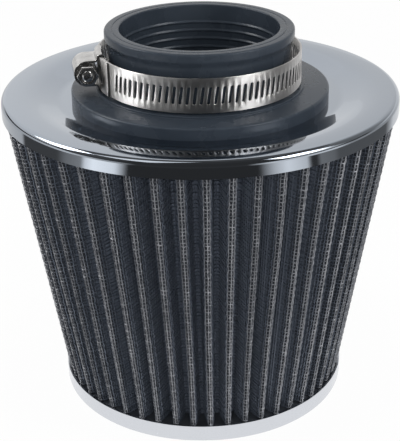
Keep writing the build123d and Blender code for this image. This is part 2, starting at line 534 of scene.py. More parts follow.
@dataclass(frozen=True)
class CottonFinish(Finish):
    """Dark oiled cotton with a fine weave, painted lighter down in the folds to lift the shade there."""

    attribute: str
    cone: ConeShape
    # dark and light are painted lighter than the cotton is, as fill light against the shade down in the
    # folds. crest is the cotton's own dark colour.
    dark: Colour = (0.100, 0.119, 0.155)
    light: Colour = (0.145, 0.171, 0.219)
    crest: Colour = (0.022, 0.025, 0.031)
    painted_fill_shares: Range = (0.92, 0.975)
    roughness: float = 0.92
    sheen: float = 0.1
    gloss: float = 0.25
    cloud: Grain = Grain(0.35, 5)
    threads: Grain = Grain(2.4, stretch=(1, 0.2, 1))
    cross_threads: Grain = Grain(2.4, stretch=(0.2, 1, 1))
    weave_relief: Relief = Relief(0.35, 0.00012)

    def dress(self, bench: NodeBench) -> None:
        """Lay the cotton on the shader.

        Args:
            bench: Nodes of the material.
        """
        flat = bench.attribute(self.attribute)
        # Painted light: away from the crests the cotton is lighter to lift the shade in the folds.
        painted_fill = bench.tint(bench.noise(flat, self.cloud), self.dark, self.light)
        outness = bench.outness(self.cone, self.painted_fill_shares)
        looks = {
            "Base Color": bench.blend(outness, painted_fill, (*self.crest, 1)),
            "Roughness": self.roughness,
            "Sheen Weight": self.sheen,
            "Specular IOR Level": self.gloss,
        }
        bench.feed(bench.shader, looks)
        weave = (bench.noise(flat, self.threads), bench.noise(flat, self.cross_threads))
        bench.bump(*((threads, self.weave_relief) for threads in weave))


@dataclass(frozen=True)
class PottingFinish(Finish):
    """Matt black potting compound, slightly uneven as poured."""

    dark: Colour = (0.045, 0.051, 0.062)
    light: Colour = (0.075, 0.083, 0.098)
    roughness: Range = (0.42, 0.62)
    pour: Grain = Grain(160, 4)
    pour_relief: Relief = Relief(0.25, 0.0003)

    def dress(self, bench: NodeBench) -> None:
        """Lay the compound on the shader.

        Args:
            bench: Nodes of the material.
        """
        pour = bench.noise(bench.place(), self.pour)
        looks = {
            "Base Color": bench.tint(pour, self.dark, self.light),
            "Roughness": bench.spread(pour, self.roughness),
        }
        bench.feed(bench.shader, looks)
        bench.bump((pour, self.pour_relief))


# Workshop: ways of shaping a mesh


def pick_only(*pieces: Piece) -> None:
    """Select only these pieces, the last of them active.

    Args:
        pieces: The pieces.
    """
    if bpy.context.object is not None and bpy.context.object.mode != "OBJECT":
        bpy.ops.object.mode_set(mode="OBJECT")
    bpy.ops.object.select_all(action="DESELECT")
    for piece in pieces:
        piece.select_set(True)
        bpy.context.view_layer.objects.active = piece


def begin(name: str, add: Callable[..., set[str]], **settings: object) -> Piece:
    """Begin a piece with a primitive.

    Args:
        name: Name of the piece.
        add: Operator that adds the primitive.
        settings: The operator's settings.

    Returns:
        The piece.
    """
    pick_only()
    add(**settings)
    piece = bpy.context.object
    piece.name = name
    return piece


def put_in_scene(name: str, data: bpy.types.ID) -> Piece:
    """Make an object of a curve, a lamp or a camera.

    Args:
        name: Name of the object.
        data: The curve, lamp or camera.

    Returns:
        The object.
    """
    piece = bpy.data.objects.new(name, data)
    bpy.context.scene.collection.objects.link(piece)
    return piece


def settle(piece: Piece) -> None:
    """Carry a piece's place, turn and size over to its mesh."""
    pick_only(piece)
    bpy.ops.object.transform_apply(location=True, rotation=True, scale=True)


def finish_modifier(piece: Piece, kind: str, **settings: object) -> None:
    """Add a modifier and apply it.

    Args:
        piece: The piece.
        kind: Blender's type name of the modifier.
        settings: Properties to set on it.
    """
    pick_only(piece)
    bpy.ops.object.modifier_add(type=kind)
    modifier = piece.modifiers[-1]
    for name, value in settings.items():
        setattr(modifier, name, value)
    bpy.ops.object.modifier_apply(modifier=modifier.name)


def soften(piece: Piece, width: float, segments: int, sharp: float) -> None:
    """Round the sharp edges of a piece.

    Args:
        piece: The piece.
        width: Width of the rounding.
        segments: Faces across it.
        sharp: Angle in radians from which an edge is sharp.
    """
    settings = {"width": width, "segments": segments, "limit_method": "ANGLE", "angle_limit": sharp}
    finish_modifier(piece, "BEVEL", **settings)


def cut_out(piece: Piece, cutter: Piece) -> None:
    """Cut one closed piece out of another, and take the cutter away."""
    finish_modifier(piece, "BOOLEAN", object=cutter, operation="DIFFERENCE", solver="EXACT")
    bpy.data.objects.remove(cutter)


def join(name: str, *pieces: Piece) -> Piece:
    """Join pieces into one.

    Args:
        name: Name of the joined piece.
        pieces: The pieces.

    Returns:
        The joined piece.
    """
    pick_only(*pieces)
    bpy.ops.object.join()
    bpy.context.object.name = name
    return bpy.context.object


def reshape(piece: Piece, move: Callable[[Vector], Vector]) -> None:
    """Move every vertex by a rule.

    Args:
        piece: The piece.
        move: New place for an old one.
    """
    for vertex in piece.data.vertices:
        vertex.co = move(vertex.co.copy())
    piece.data.update()


@dataclass(frozen=True)
class Corner:
    """A corner of a turned outline, with the radius that rounds it."""

    radius: float
    height: float
    rounding: float = 0.0

    @property
    def place(self) -> Vector:
        """The corner in the plane of the outline."""
        return Vector((self.radius, 0.0, self.height))


def rounded(corners: Sequence[Corner]) -> list[Vector]:
    """Turn corners into a line of points, with arcs at the rounded ones.

    Args:
        corners: Corners in order. The ends of an open line are not rounded.

    Returns:
        Points of the line.
    """
    line = []
    for index, corner in enumerate(corners):
        if corner.rounding == 0:
            line.append(corner.place)
            continue
        to_before = (corners[index - 1].place - corner.place).normalized()
        to_after = (corners[(index + 1) % len(corners)].place - corner.place).normalized()
        half = to_before.angle(to_after) / 2
        centre = corner.place + (to_before + to_after).normalized() * corner.rounding / math.sin(half)
        reach = corner.rounding / math.tan(half)
        start = (corner.place + to_before * reach - centre).normalized()
        end = (corner.place + to_after * reach - centre).normalized()
        for step in range(ARC_STEPS + 1):
            line.append(centre + start.slerp(end, step / ARC_STEPS) * corner.rounding)
    return line


def thickened(line: Sequence[Vector], thickness: float) -> list[Vector]:
    """Close a sheet's outer line with its inner line.

    Args:
        line: Outer line, with the sheet on its left.
        thickness: Sheet thickness.

    Returns:
        The closed line.
    """
    inner = []
    last = len(line) - 1
    for index, here in enumerate(line):
        ahead = (line[min(index + 1, last)] - line[max(index - 1, 0)]).normalized()
        inner.append(here + Vector((-ahead.z, 0, ahead.x)) * thickness)
    return list(line) + inner[::-1]


def draw_line(name: str, line: Sequence[Vector], closed: bool) -> Piece:
    """Draw a line of edges from one vertex, left in edit mode with all of it selected.

    Args:
        name: Name of the piece.
        line: Points of the line.
        closed: Whether the last point joins the first.

    Returns:
        The piece.
    """
    piece = begin(name, bpy.ops.mesh.primitive_plane_add, size=1)
    bpy.ops.object.mode_set(mode="EDIT")
    bpy.ops.mesh.merge(type="CENTER")
    bpy.ops.transform.translate(value=line[0])
    stops = list(line) + ([line[0]] if closed else [])
    for here, there in zip(stops, stops[1:]):
        bpy.ops.mesh.extrude_vertices_move(TRANSFORM_OT_translate={"value": there - here})
    bpy.ops.mesh.select_all(action="SELECT")
    bpy.ops.mesh.remove_doubles(threshold=WELD)
    bpy.ops.mesh.select_all(action="SELECT")
    return piece


def close_up() -> None:
    """Weld the mesh in edit mode, turn its faces outwards and leave edit mode."""
    bpy.ops.mesh.select_all(action="SELECT")
    bpy.ops.mesh.remove_doubles(threshold=WELD)
    bpy.ops.mesh.normals_make_consistent(inside=False)
    bpy.ops.object.mode_set(mode="OBJECT")


def turned(name: str, line: Sequence[Vector], segments: int, closed: bool = True) -> Piece:
    """Turn a line about the Z axis.

    Args:
        name: Name of the piece.
        line: Points in the XZ plane.
        segments: Faces round the axis.
        closed: Whether the line is closed. An open one on a solid starts and ends on the axis.

    Returns:
        The turned piece.
    """
    piece = draw_line(name, line, closed)
    bpy.ops.mesh.spin(steps=segments, angle=FULL_TURN, center=(0, 0, 0), axis=(0, 0, 1))
    close_up()
    return piece


@dataclass(frozen=True)
class Fitting:
    """Where a finished piece belongs in the frame."""

    body: Body
    slot: Slot
    nodes: tuple[str, ...]
    smooth_degrees: float = 35.0

    def fit(self, piece: Piece, finish: Material) -> None:
        """Bring a piece to metres, dress it and tie it to the frame.

        Args:
            piece: The piece, modelled in millimetres.
            finish: Its material.
        """
        piece.scale = (MM, MM, MM)
        settle(piece)
        bpy.ops.object.shade_smooth_by_angle(angle=math.radians(self.smooth_degrees))
        piece.data.materials.clear()
        piece.data.materials.append(finish)
        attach(piece, self.body.value)
        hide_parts(*self.nodes)
        LOG.info("%s: %d faces on %s", piece.name, len(piece.data.polygons), self.body.value)


# Sub-assemblies


@dataclass
class TopCover:
    """Pressed cover: skirt, rounded edge, annulus, shallow recess and land."""

    box: NodeBox = NodeBox.of("top_cover")
    sheet: float = 0.6
    edge_round: float = 2.2
    crease_r: float = 64.5
    crease_round: float = 30.0
    recess_depth: float = 3.1
    land_r: float = 53.6
    land_round: float = 10.0
    hole_r: float = 43.6
    segments: int = 256

    def outline(self) -> list[Vector]:
        """Closed outline of the sheet, from the hem in to the hole and back.

        Returns:
            Points of the outline.
        """
        cover_r, top_z = self.box.high.x, self.box.high.z
        land_z = top_z - self.recess_depth
        outer = [
            Corner(cover_r, self.box.low.z),
            Corner(cover_r, top_z, self.edge_round),
            Corner(self.crease_r, top_z, self.crease_round),
            Corner(self.land_r, land_z, self.land_round),
            Corner(self.hole_r, land_z),
        ]
        return thickened(rounded(outer), self.sheet)

    def build(self, finish: Material) -> None:
        """Model the cover in chrome and fit it."""
        cover = turned("cover_pressing", self.outline(), self.segments)
        Fitting(Body.FILTER, Slot.COVER, ("top_cover",)).fit(cover, finish)


@dataclass
class InletNeck:
    """Rubber moulding with lip, grip rings, clamp step and collar."""

    box: NodeBox = NodeBox.of("inlet_neck")
    cover_box: NodeBox = TopCover.box
    bore_r: float = frame["record"]["mounts"][0]["dims"]["r_mm"]
    neck_wall: float = 4.2
    neck_foot_round: float = 0.8
    lip_proud: float = 1.4
    lip_height: float = 3.0
    lip_taper: float = 2.2
    lip_round: float = 0.8
    lip_under_round: float = 1.6
    lip_taper_round: float = 3.0
    rim_round: float = 0.5
    rim_line_r: float = 32.6
    rim_line_depth: float = 0.22
    rim_line_half: float = 0.3
    rim_line_round: float = 0.1
    step_r: float = 39.6
    step_height: float = 0.9
    step_round: float = 0.35
    collar_height: float = 4.5
    collar_round: float = 0.9
    groove_r: float = 43.5
    flange_r: float = 47.0
    flange_top_round: float = 0.3
    flange_foot_round: float = 0.8
    cover_sheet: float = TopCover.sheet
    recess_depth: float = TopCover.recess_depth
    bell_mouth: float = 2.5
    bell_round: float = 1.5
    bell_foot_round: float = 0.6
    grip_depths: tuple[float, ...] = (7.0, 10.3, 13.6, 17.0)
    grip_proud: float = 0.5
    grip_half: float = 0.75
    grip_round: float = 0.35
    segments: int = 224

    def grip_ring(self, depth: float) -> list[Corner]:
        """Corners of one grip ring, going down the bore.

        Args:
            depth: Depth of the ring's crown under the rim.

        Returns:
            The ring's corners.
        """
        crown_z = self.box.high.z - depth
        return [
            Corner(self.bore_r, crown_z + self.grip_half, self.grip_round),
            Corner(self.bore_r - self.grip_proud, crown_z, self.grip_round),
            Corner(self.bore_r, crown_z - self.grip_half, self.grip_round),
        ]

    def outline(self) -> list[Vector]:
        """Closed outline of the moulding, up the outside and down the bore.

        Returns:
            Points of the outline.
        """
        rim_z, foot_z, collar_r = self.box.high.z, self.box.low.z, self.box.high.x
        land_z = self.cover_box.high.z - self.recess_depth
        under_z = land_z - self.cover_sheet
        collar_z = land_z + self.collar_height
        step_z = collar_z + self.step_height
        neck_r = self.bore_r + self.neck_wall
        lip_r = neck_r + self.lip_proud
        lip_z = rim_z - self.lip_height
        corners = [
            Corner(self.bore_r, foot_z + self.bell_mouth, self.bell_round),
            Corner(self.bore_r + self.bell_mouth, foot_z, self.bell_foot_round),
            Corner(self.flange_r, foot_z, self.flange_foot_round),
            Corner(self.flange_r, under_z, self.flange_top_round),
            Corner(self.groove_r, under_z),
            Corner(self.groove_r, land_z),
            Corner(collar_r, land_z),
            Corner(collar_r, collar_z, self.collar_round),
            Corner(self.step_r, collar_z, self.step_round),
            Corner(self.step_r, step_z, self.step_round),
            Corner(neck_r, step_z, self.neck_foot_round),
            Corner(neck_r, lip_z - self.lip_taper, self.lip_taper_round),
            Corner(lip_r, lip_z, self.lip_under_round),
            Corner(lip_r, rim_z, self.lip_round),
            Corner(self.rim_line_r + self.rim_line_half, rim_z, self.rim_line_round),
            Corner(self.rim_line_r, rim_z - self.rim_line_depth, self.rim_line_round),
            Corner(self.rim_line_r - self.rim_line_half, rim_z, self.rim_line_round),
            Corner(self.bore_r, rim_z, self.rim_round),
        ]
        for depth in self.grip_depths:
            corners += self.grip_ring(depth)
        return rounded(corners)

    def build(self, finish: Material) -> None:
        """Model the moulding in rubber and fit it."""
        neck = turned("neck_moulding", self.outline(), self.segments)
        Fitting(Body.FILTER, Slot.NECK, ("inlet_neck",)).fit(neck, finish)


@dataclass
class ClosedEnd:
    """End cap and the potting poured into it."""

    box: NodeBox = NodeBox.of("end_cap")
    seal_box: NodeBox = NodeBox.of("end_seal")
    sheet: float = 0.7
    foot_round: float = 1.4
    panel_r: float = 42.0
    panel_rise: float = 1.6
    panel_slope: float = 2.4
    panel_round: float = 1.0
    meniscus: float = 0.3
    meniscus_width: float = 1.6
    wall_gap: float = 0.02
    segments: int = 192

    def cap_outline(self) -> list[Vector]:
        """Outline of the pressed cup from the axis under it to the axis inside.

        Returns:
            Points of the outline.
        """
        cap_r, cap_z = self.box.high.x, self.box.high.z
        floor_r = self.panel_r + self.panel_slope
        inner_r = cap_r - self.sheet
        corners = [
            Corner(0, self.panel_rise),
            Corner(self.panel_r, self.panel_rise, self.panel_round),
            Corner(floor_r, 0, self.panel_round),
            Corner(cap_r, 0, self.foot_round),
            Corner(cap_r, cap_z),
            Corner(inner_r, cap_z),
            Corner(inner_r, self.sheet, self.foot_round - self.sheet),
            Corner(floor_r, self.sheet, self.panel_round),
            Corner(self.panel_r, self.panel_rise + self.sheet, self.panel_round),
            Corner(0, self.panel_rise + self.sheet),
        ]
        return rounded(corners)

    def potting_outline(self) -> list[Vector]:
        """Outline of the potting from the axis under it to the axis on top.

        Returns:
            Points of the outline.
        """
        inner_r = self.box.high.x - self.sheet - self.wall_gap
        floor_z = self.sheet + self.wall_gap
        panel_z = self.panel_rise + self.sheet + self.wall_gap
        top_z = self.seal_box.high.z - self.meniscus
        corners = [
            Corner(0, panel_z),
            Corner(self.panel_r, panel_z),
            Corner(self.panel_r + self.panel_slope, floor_z),
            Corner(inner_r - self.foot_round, floor_z),
            Corner(inner_r, self.foot_round),
            Corner(inner_r, top_z + self.meniscus),
            Corner(inner_r - self.meniscus_width, top_z, self.meniscus_width),
            Corner(0, top_z),
        ]
        return rounded(corners)

    def build(self, metal: Material, potting: Material) -> None:
        """Model the cap and the potting and fit them.

        Args:
            metal: Finish of the cap.
            potting: Finish of the potting.
        """
        cap = turned("end_cap_pressing", self.cap_outline(), self.segments, False)
        Fitting(Body.FILTER, Slot.CAP, ("end_cap",)).fit(cap, metal)
        pour = turned("end_potting", self.potting_outline(), self.segments, False)
        Fitting(Body.FILTER, Slot.POTTING, ("end_seal",)).fit(pour, potting)


@dataclass
class PleatPack:
    """Cotton folded into a cone under woven wire cloth.

    A way along a pleat runs from one valley at 0 over the crest at 0.5 to the next valley at 1. The
    shares and warps are ways counted from the crest.
    """

    box: NodeBox = NodeBox.of("outer_mesh")
    cap_box: NodeBox = ClosedEnd.box
    pleat_count: int = 52
    pleat_depth: float = 12.0
    crest_round: float = 1.6
    valley_round: float = 0.9
    cap_clearance: float = 1.4
    crest_share: float = 0.12
    flank_share: float = 0.44
    media_depth: float = 0.42
    media_thickness: float = 0.5
    media_rows: int = 16
    media_crest_steps: int = 3
    media_flank_shares: tuple[float, ...] = (0.22, 0.33)
    media_valley_share: float = 0.47
    wire_r: float = 0.24
    wire_sides: int = 3
    wire_smooth_degrees: float = 80.0
    wire_depth: float = 0.22
    weave_lift: float = 0.10
    wire_pitch: float = 1.5
    hoop_start_z: float = 7.0
    crest_warps: tuple[float, ...] = (0.0, 0.078)
    flank_warps: tuple[float, ...] = (0.14, 0.19, 0.24, 0.29, 0.34, 0.39)
    woven_flank_warps: int = 2
    phase: float = 1.0
    drift: tuple[float, float, float] = (-0.35, 1.4, 0.45)
    lean: float = -1.2
    seed: int = 52
    pitch_error: float = 0.10
    bow_error: float = 0.22
    twist_error: float = 0.14
    offset_count: int = 9973
    way_jitter: float = 0.007
    height_jitter: float = 0.22
    sheet_attribute: str = "folded_sheet"

    def __post_init__(self) -> None:
        """Draw the small errors of each pleat in degrees, and work out what follows from the sizes."""
        draw = random.Random(self.seed)
        self.errors = [
            tuple(draw.gauss(0, size) for size in (self.pitch_error, self.bow_error, self.twist_error))
            for pleat in range(self.pleat_count)
        ]
        self.half_pitch = math.pi / self.pleat_count
        self.crest_r = self.box.high.x
        self.taper = (self.cap_box.high.x - self.cap_clearance) / self.crest_r
        self.row_count = int((self.box.high.z - self.hoop_start_z) / self.wire_pitch) + 1
        self.offsets = [
            (draw.uniform(-1, 1), draw.uniform(-1, 1)) for crossing in range(self.offset_count)
        ]
        warps = [*self.crest_warps, *self.flank_warps]
        self.ways = [0.0, *self.both_sides(warps)]
        woven_reach = self.flank_warps[self.woven_flank_warps - 1]
        self.woven_stations = [
            station for station, way in enumerate(self.ways) if abs(way - 0.5) <= woven_reach
        ]

    def both_sides(self, shares: Sequence[float]) -> list[float]:
        """Ways along a pleat that lie these shares before and after its crest, the first on it."""
        return [0.5 - share for share in shares[::-1]] + [0.5 + share for share in shares[1:]]

    def cone(self) -> ConeShape:
        """Shape of the folds' outer face, for the finishes that follow it."""
        slope = self.crest_r * (1 - self.taper) / (self.box.high.z - self.box.low.z)
        return ConeShape(self.crest_r * MM, self.box.high.z * MM, slope)

    def rise(self, height: float) -> float:
        """How far up the pleats a height is, from 0 to 1."""
        return (height - self.box.low.z) / (self.box.high.z - self.box.low.z)

    def sway(self, pleat: int, rise: float) -> float:
        """How far a pleat leans round the axis at a height.

        Args:
            pleat: Number of the pleat.
            rise: How far up the pleat, from 0 to 1.

        Returns:
            The lean in radians.
        """
        pitch, bow, twist = self.errors[pleat % self.pleat_count]
        even, gathered, shifted = self.drift
        from_front = 2 * self.half_pitch * pleat + math.pi / 2
        drift = even + gathered * math.cos(2 * from_front) + shifted * math.sin(from_front)
        bowed = bow * math.sin(math.pi * rise) + twist * math.sin(FULL_TURN * rise)
        return math.radians(drift + self.lean * (rise - 0.5) + pitch + bowed)

    def fold(self, way: float, scale: float, depth: float) -> Vector:
        """A point of one fold: two arcs joined by a straight flank.

        Args:
            way: Way along the pleat.
            scale: Size of the fold at this height.
            depth: Depth under the element's outer face.

        Returns:
            The point across and out from the pleat's middle line.
        """
        crest_round = self.crest_round * scale - depth
        valley_round = self.valley_round * scale + depth
        crest_y = (self.crest_r - self.crest_round) * scale
        valley_out = (self.crest_r - self.pleat_depth + self.valley_round) * scale
        crest_centre = Vector((0, crest_y))
        valley_centre = Vector((math.sin(self.half_pitch), math.cos(self.half_pitch))) * valley_out
        span = valley_centre - crest_centre
        lean = math.atan2(span.x, -span.y) - math.asin((crest_round + valley_round) / span.length)
        turn = math.pi / 2 - lean
        share = abs(way - 0.5)
        if share <= self.crest_share:
            angle = turn * share / self.crest_share
            point = crest_centre + crest_round * Vector((math.sin(angle), math.cos(angle)))
        elif share <= self.flank_share:
            normal = Vector((math.sin(turn), math.cos(turn)))
            top, bottom = crest_centre + crest_round * normal, valley_centre - valley_round * normal
            point = top.lerp(bottom, (share - self.crest_share) / (self.flank_share - self.crest_share))
        else:
            reach = (share - self.flank_share) / (0.5 - self.flank_share)
            angle = turn + (self.half_pitch - turn) * reach
            point = valley_centre - valley_round * Vector((math.sin(angle), math.cos(angle)))
        return Vector((math.copysign(point.x, way - 0.5), point.y))

    def place(self, pleat: int, way: float, height: float, depth: float) -> Vector:
        """A point of the folded cone.

        Args:
            pleat: Number of the pleat.
            way: Way along the pleat.
            height: Height over the ground.
            depth: Depth under the element's outer face.

        Returns:
            The point.
        """
        rise = self.rise(height)
        scale = self.taper + (1 - self.taper) * rise
        point = self.fold(way, scale, depth)
        outness = (point.y / scale - self.crest_r + self.pleat_depth) / self.pleat_depth
        sway = self.sway(pleat, rise)
        if outness < 1:
            neighbour = self.sway(pleat + (1 if way > 0.5 else -1), rise)
            sway += (neighbour - sway) * min(1 - outness, 1) / 2
        angle = math.radians(self.phase) + 2 * self.half_pitch * pleat + sway
        cosine, sine = math.cos(angle), math.sin(angle)
        return Vector((point.y * cosine - point.x * sine, point.y * sine + point.x * cosine, height))

    def media(self) -> Piece:
        """Fold a flat sheet of cotton into the cone.

        Returns:
            The folded sheet.
        """
        steps = self.media_crest_steps
        shares = [self.crest_share * step / steps for step in range(steps + 1)]
        shares += [*self.media_flank_shares, self.flank_share, self.media_valley_share, 0.5]
        ways = self.both_sides(shares)
        columns = self.pleat_count * (len(ways) - 1)
        grid = {"x_subdivisions": columns, "y_subdivisions": self.media_rows, "size": 2}
        sheet = begin("media_folds", bpy.ops.mesh.primitive_grid_add, **grid)
        low_z, high_z = self.box.low.z, self.box.high.z
        flat = sheet.data.attributes.new(self.sheet_attribute, "FLOAT_VECTOR", "POINT")
        pleat_path = 2 * self.pleat_depth + 2 * self.crest_round
        for vertex in sheet.data.vertices:
            column = round((vertex.co.x + 1) / 2 * columns)
            height = low_z + (high_z - low_z) * (vertex.co.y + 1) / 2
            pleat, station = divmod(column, len(ways) - 1)
            path = pleat_path * (pleat + ways[station])
            flat.data[vertex.index].vector = (path, height, 0)
            vertex.co = self.place(pleat, ways[station], height, self.media_depth)
        bpy.ops.object.mode_set(mode="EDIT")
        bpy.ops.mesh.select_all(action="SELECT")
        bpy.ops.mesh.remove_doubles(threshold=WELD)
        bpy.ops.object.mode_set(mode="OBJECT")
        finish_modifier(sheet, "SOLIDIFY", thickness=self.media_thickness, offset=-1.0)
        return sheet

    def wire_curve(self, name: str, paths: Sequence[Sequence[Vector]], closed: bool) -> bpy.types.Curve:
        """Straight runs from point to point of each path.

        Args:
            name: Name of the curve.
            paths: Points of each path.
            closed: Whether each path closes on itself.

        Returns:
            The curve.
        """
        curve = bpy.data.curves.new(name, "CURVE")
        curve.dimensions = "3D"
        for path in paths:
            spline = curve.splines.new("POLY")
            spline.points.add(len(path) - 1)
            spline.use_cyclic_u = closed
            spline.points.foreach_set("co", [value for place in path for value in (*place, 1)])
        return curve

    def drawn_wires(self, name: str, paths: Sequence[Sequence[Vector]], closed: bool) -> Piece:
        """Draw wires of a few-sided section along paths.

        Args:
            name: Name of the piece.
            paths: Points of each wire.
            closed: Whether each wire closes on itself.

        Returns:
            The wires as one mesh.
        """
        outline = []
        for side in range(self.wire_sides):
            angle = FULL_TURN * side / self.wire_sides
            outline.append(Vector((self.wire_r * math.cos(angle), self.wire_r * math.sin(angle), 0)))
        section = put_in_scene(f"{name}_section", self.wire_curve(f"{name}_section", [outline], True))
        curve = self.wire_curve(name, paths, closed)
        curve.bevel_mode = "OBJECT"
        curve.bevel_object = section
        curve.use_fill_caps = not closed
        pick_only(put_in_scene(name, curve))
        bpy.ops.object.convert(target="MESH")
        bpy.data.objects.remove(section)
        return bpy.context.object

    def crossing(self, pleat: int, station: int, row: int, height: float, side: int) -> Vector:
        """Where a wire passes a crossing of the weave, which lies a little off its even place.

        Args:
            pleat: Number of the pleat.
            station: Number of the upright wire in the pleat.
            row: Number of the hoop.
            height: Height of the hoop.
            side: 1 for the upright wire and -1 for the hoop.

        Returns:
            The wire's place at the crossing.
        """
        number = (pleat * len(self.ways) + station) * self.row_count + row
        way_off, height_off = self.offsets[number % len(self.offsets)]
        if (pleat * len(self.ways) + station + row) % 2:
            side = -side
        depth = self.wire_depth - side * self.weave_lift
        way = self.ways[station] + self.way_jitter * way_off
        return self.place(pleat, way, height + self.height_jitter * height_off, depth)

    def hoop(self, row: int, height: float) -> list[Vector]:
        """Path of one hoop wire over all the folds.

        Args:
            row: Number of the hoop.
            height: Its height.

        Returns:
            Points of the path.
        """
        path = []
        for pleat in range(self.pleat_count):
            for way in (0.0, 0.5 - self.flank_share):
                path.append(self.place(pleat, way, height, self.wire_depth))
            for station in self.woven_stations:
                path.append(self.crossing(pleat, station, row, height, -1))
            path.append(self.place(pleat, 0.5 + self.flank_share, height, self.wire_depth))
        return path

    def upright(self, pleat: int, station: int, rows: Sequence[float]) -> list[Vector]:
        """Path of one upright wire.

        Args:
            pleat: Number of the pleat.
            station: Number of the wire in the pleat.
            rows: Heights of the hoops.

        Returns:
            Points of the path.
        """
        if station not in self.woven_stations:
            ends = (self.box.low.z, self.box.high.z)
            return [self.place(pleat, self.ways[station], height, self.wire_depth) for height in ends]
        return [self.crossing(pleat, station, row, height, 1) for row, height in enumerate(rows)]

    def build(self, cotton: Material, wire: Material) -> None:
        """Model the folded cotton and the wire cloth and fit them.

        Args:
            cotton: Finish of the cotton.
            wire: Finish of the wires.
        """
        Fitting(Body.FILTER, Slot.MEDIA, ("filter_media",)).fit(self.media(), cotton)
        rows = [self.hoop_start_z + self.wire_pitch * row for row in range(self.row_count)]
        middle = self.row_count // 2
        hoops = [self.hoop(row, height) for row, height in enumerate(rows)]
        crest, flank = [], []
        for pleat in range(self.pleat_count):
            for station, way in enumerate(self.ways):
                group = crest if abs(way - 0.5) <= self.crest_share else flank
                group.append(self.upright(pleat, station, rows))
        wires = {
            "wire_hoops_low": (hoops[:middle], True),
            "wire_hoops_high": (hoops[middle:], True),
            "wire_uprights_crest": (crest, False),
            "wire_uprights_flank": (flank, False),
        }
        fitting = Fitting(Body.FILTER, Slot.WIRE, ("outer_mesh",), self.wire_smooth_degrees)
        for name, (paths, closed) in wires.items():
            fitting.fit(self.drawn_wires(name, paths, closed), wire)


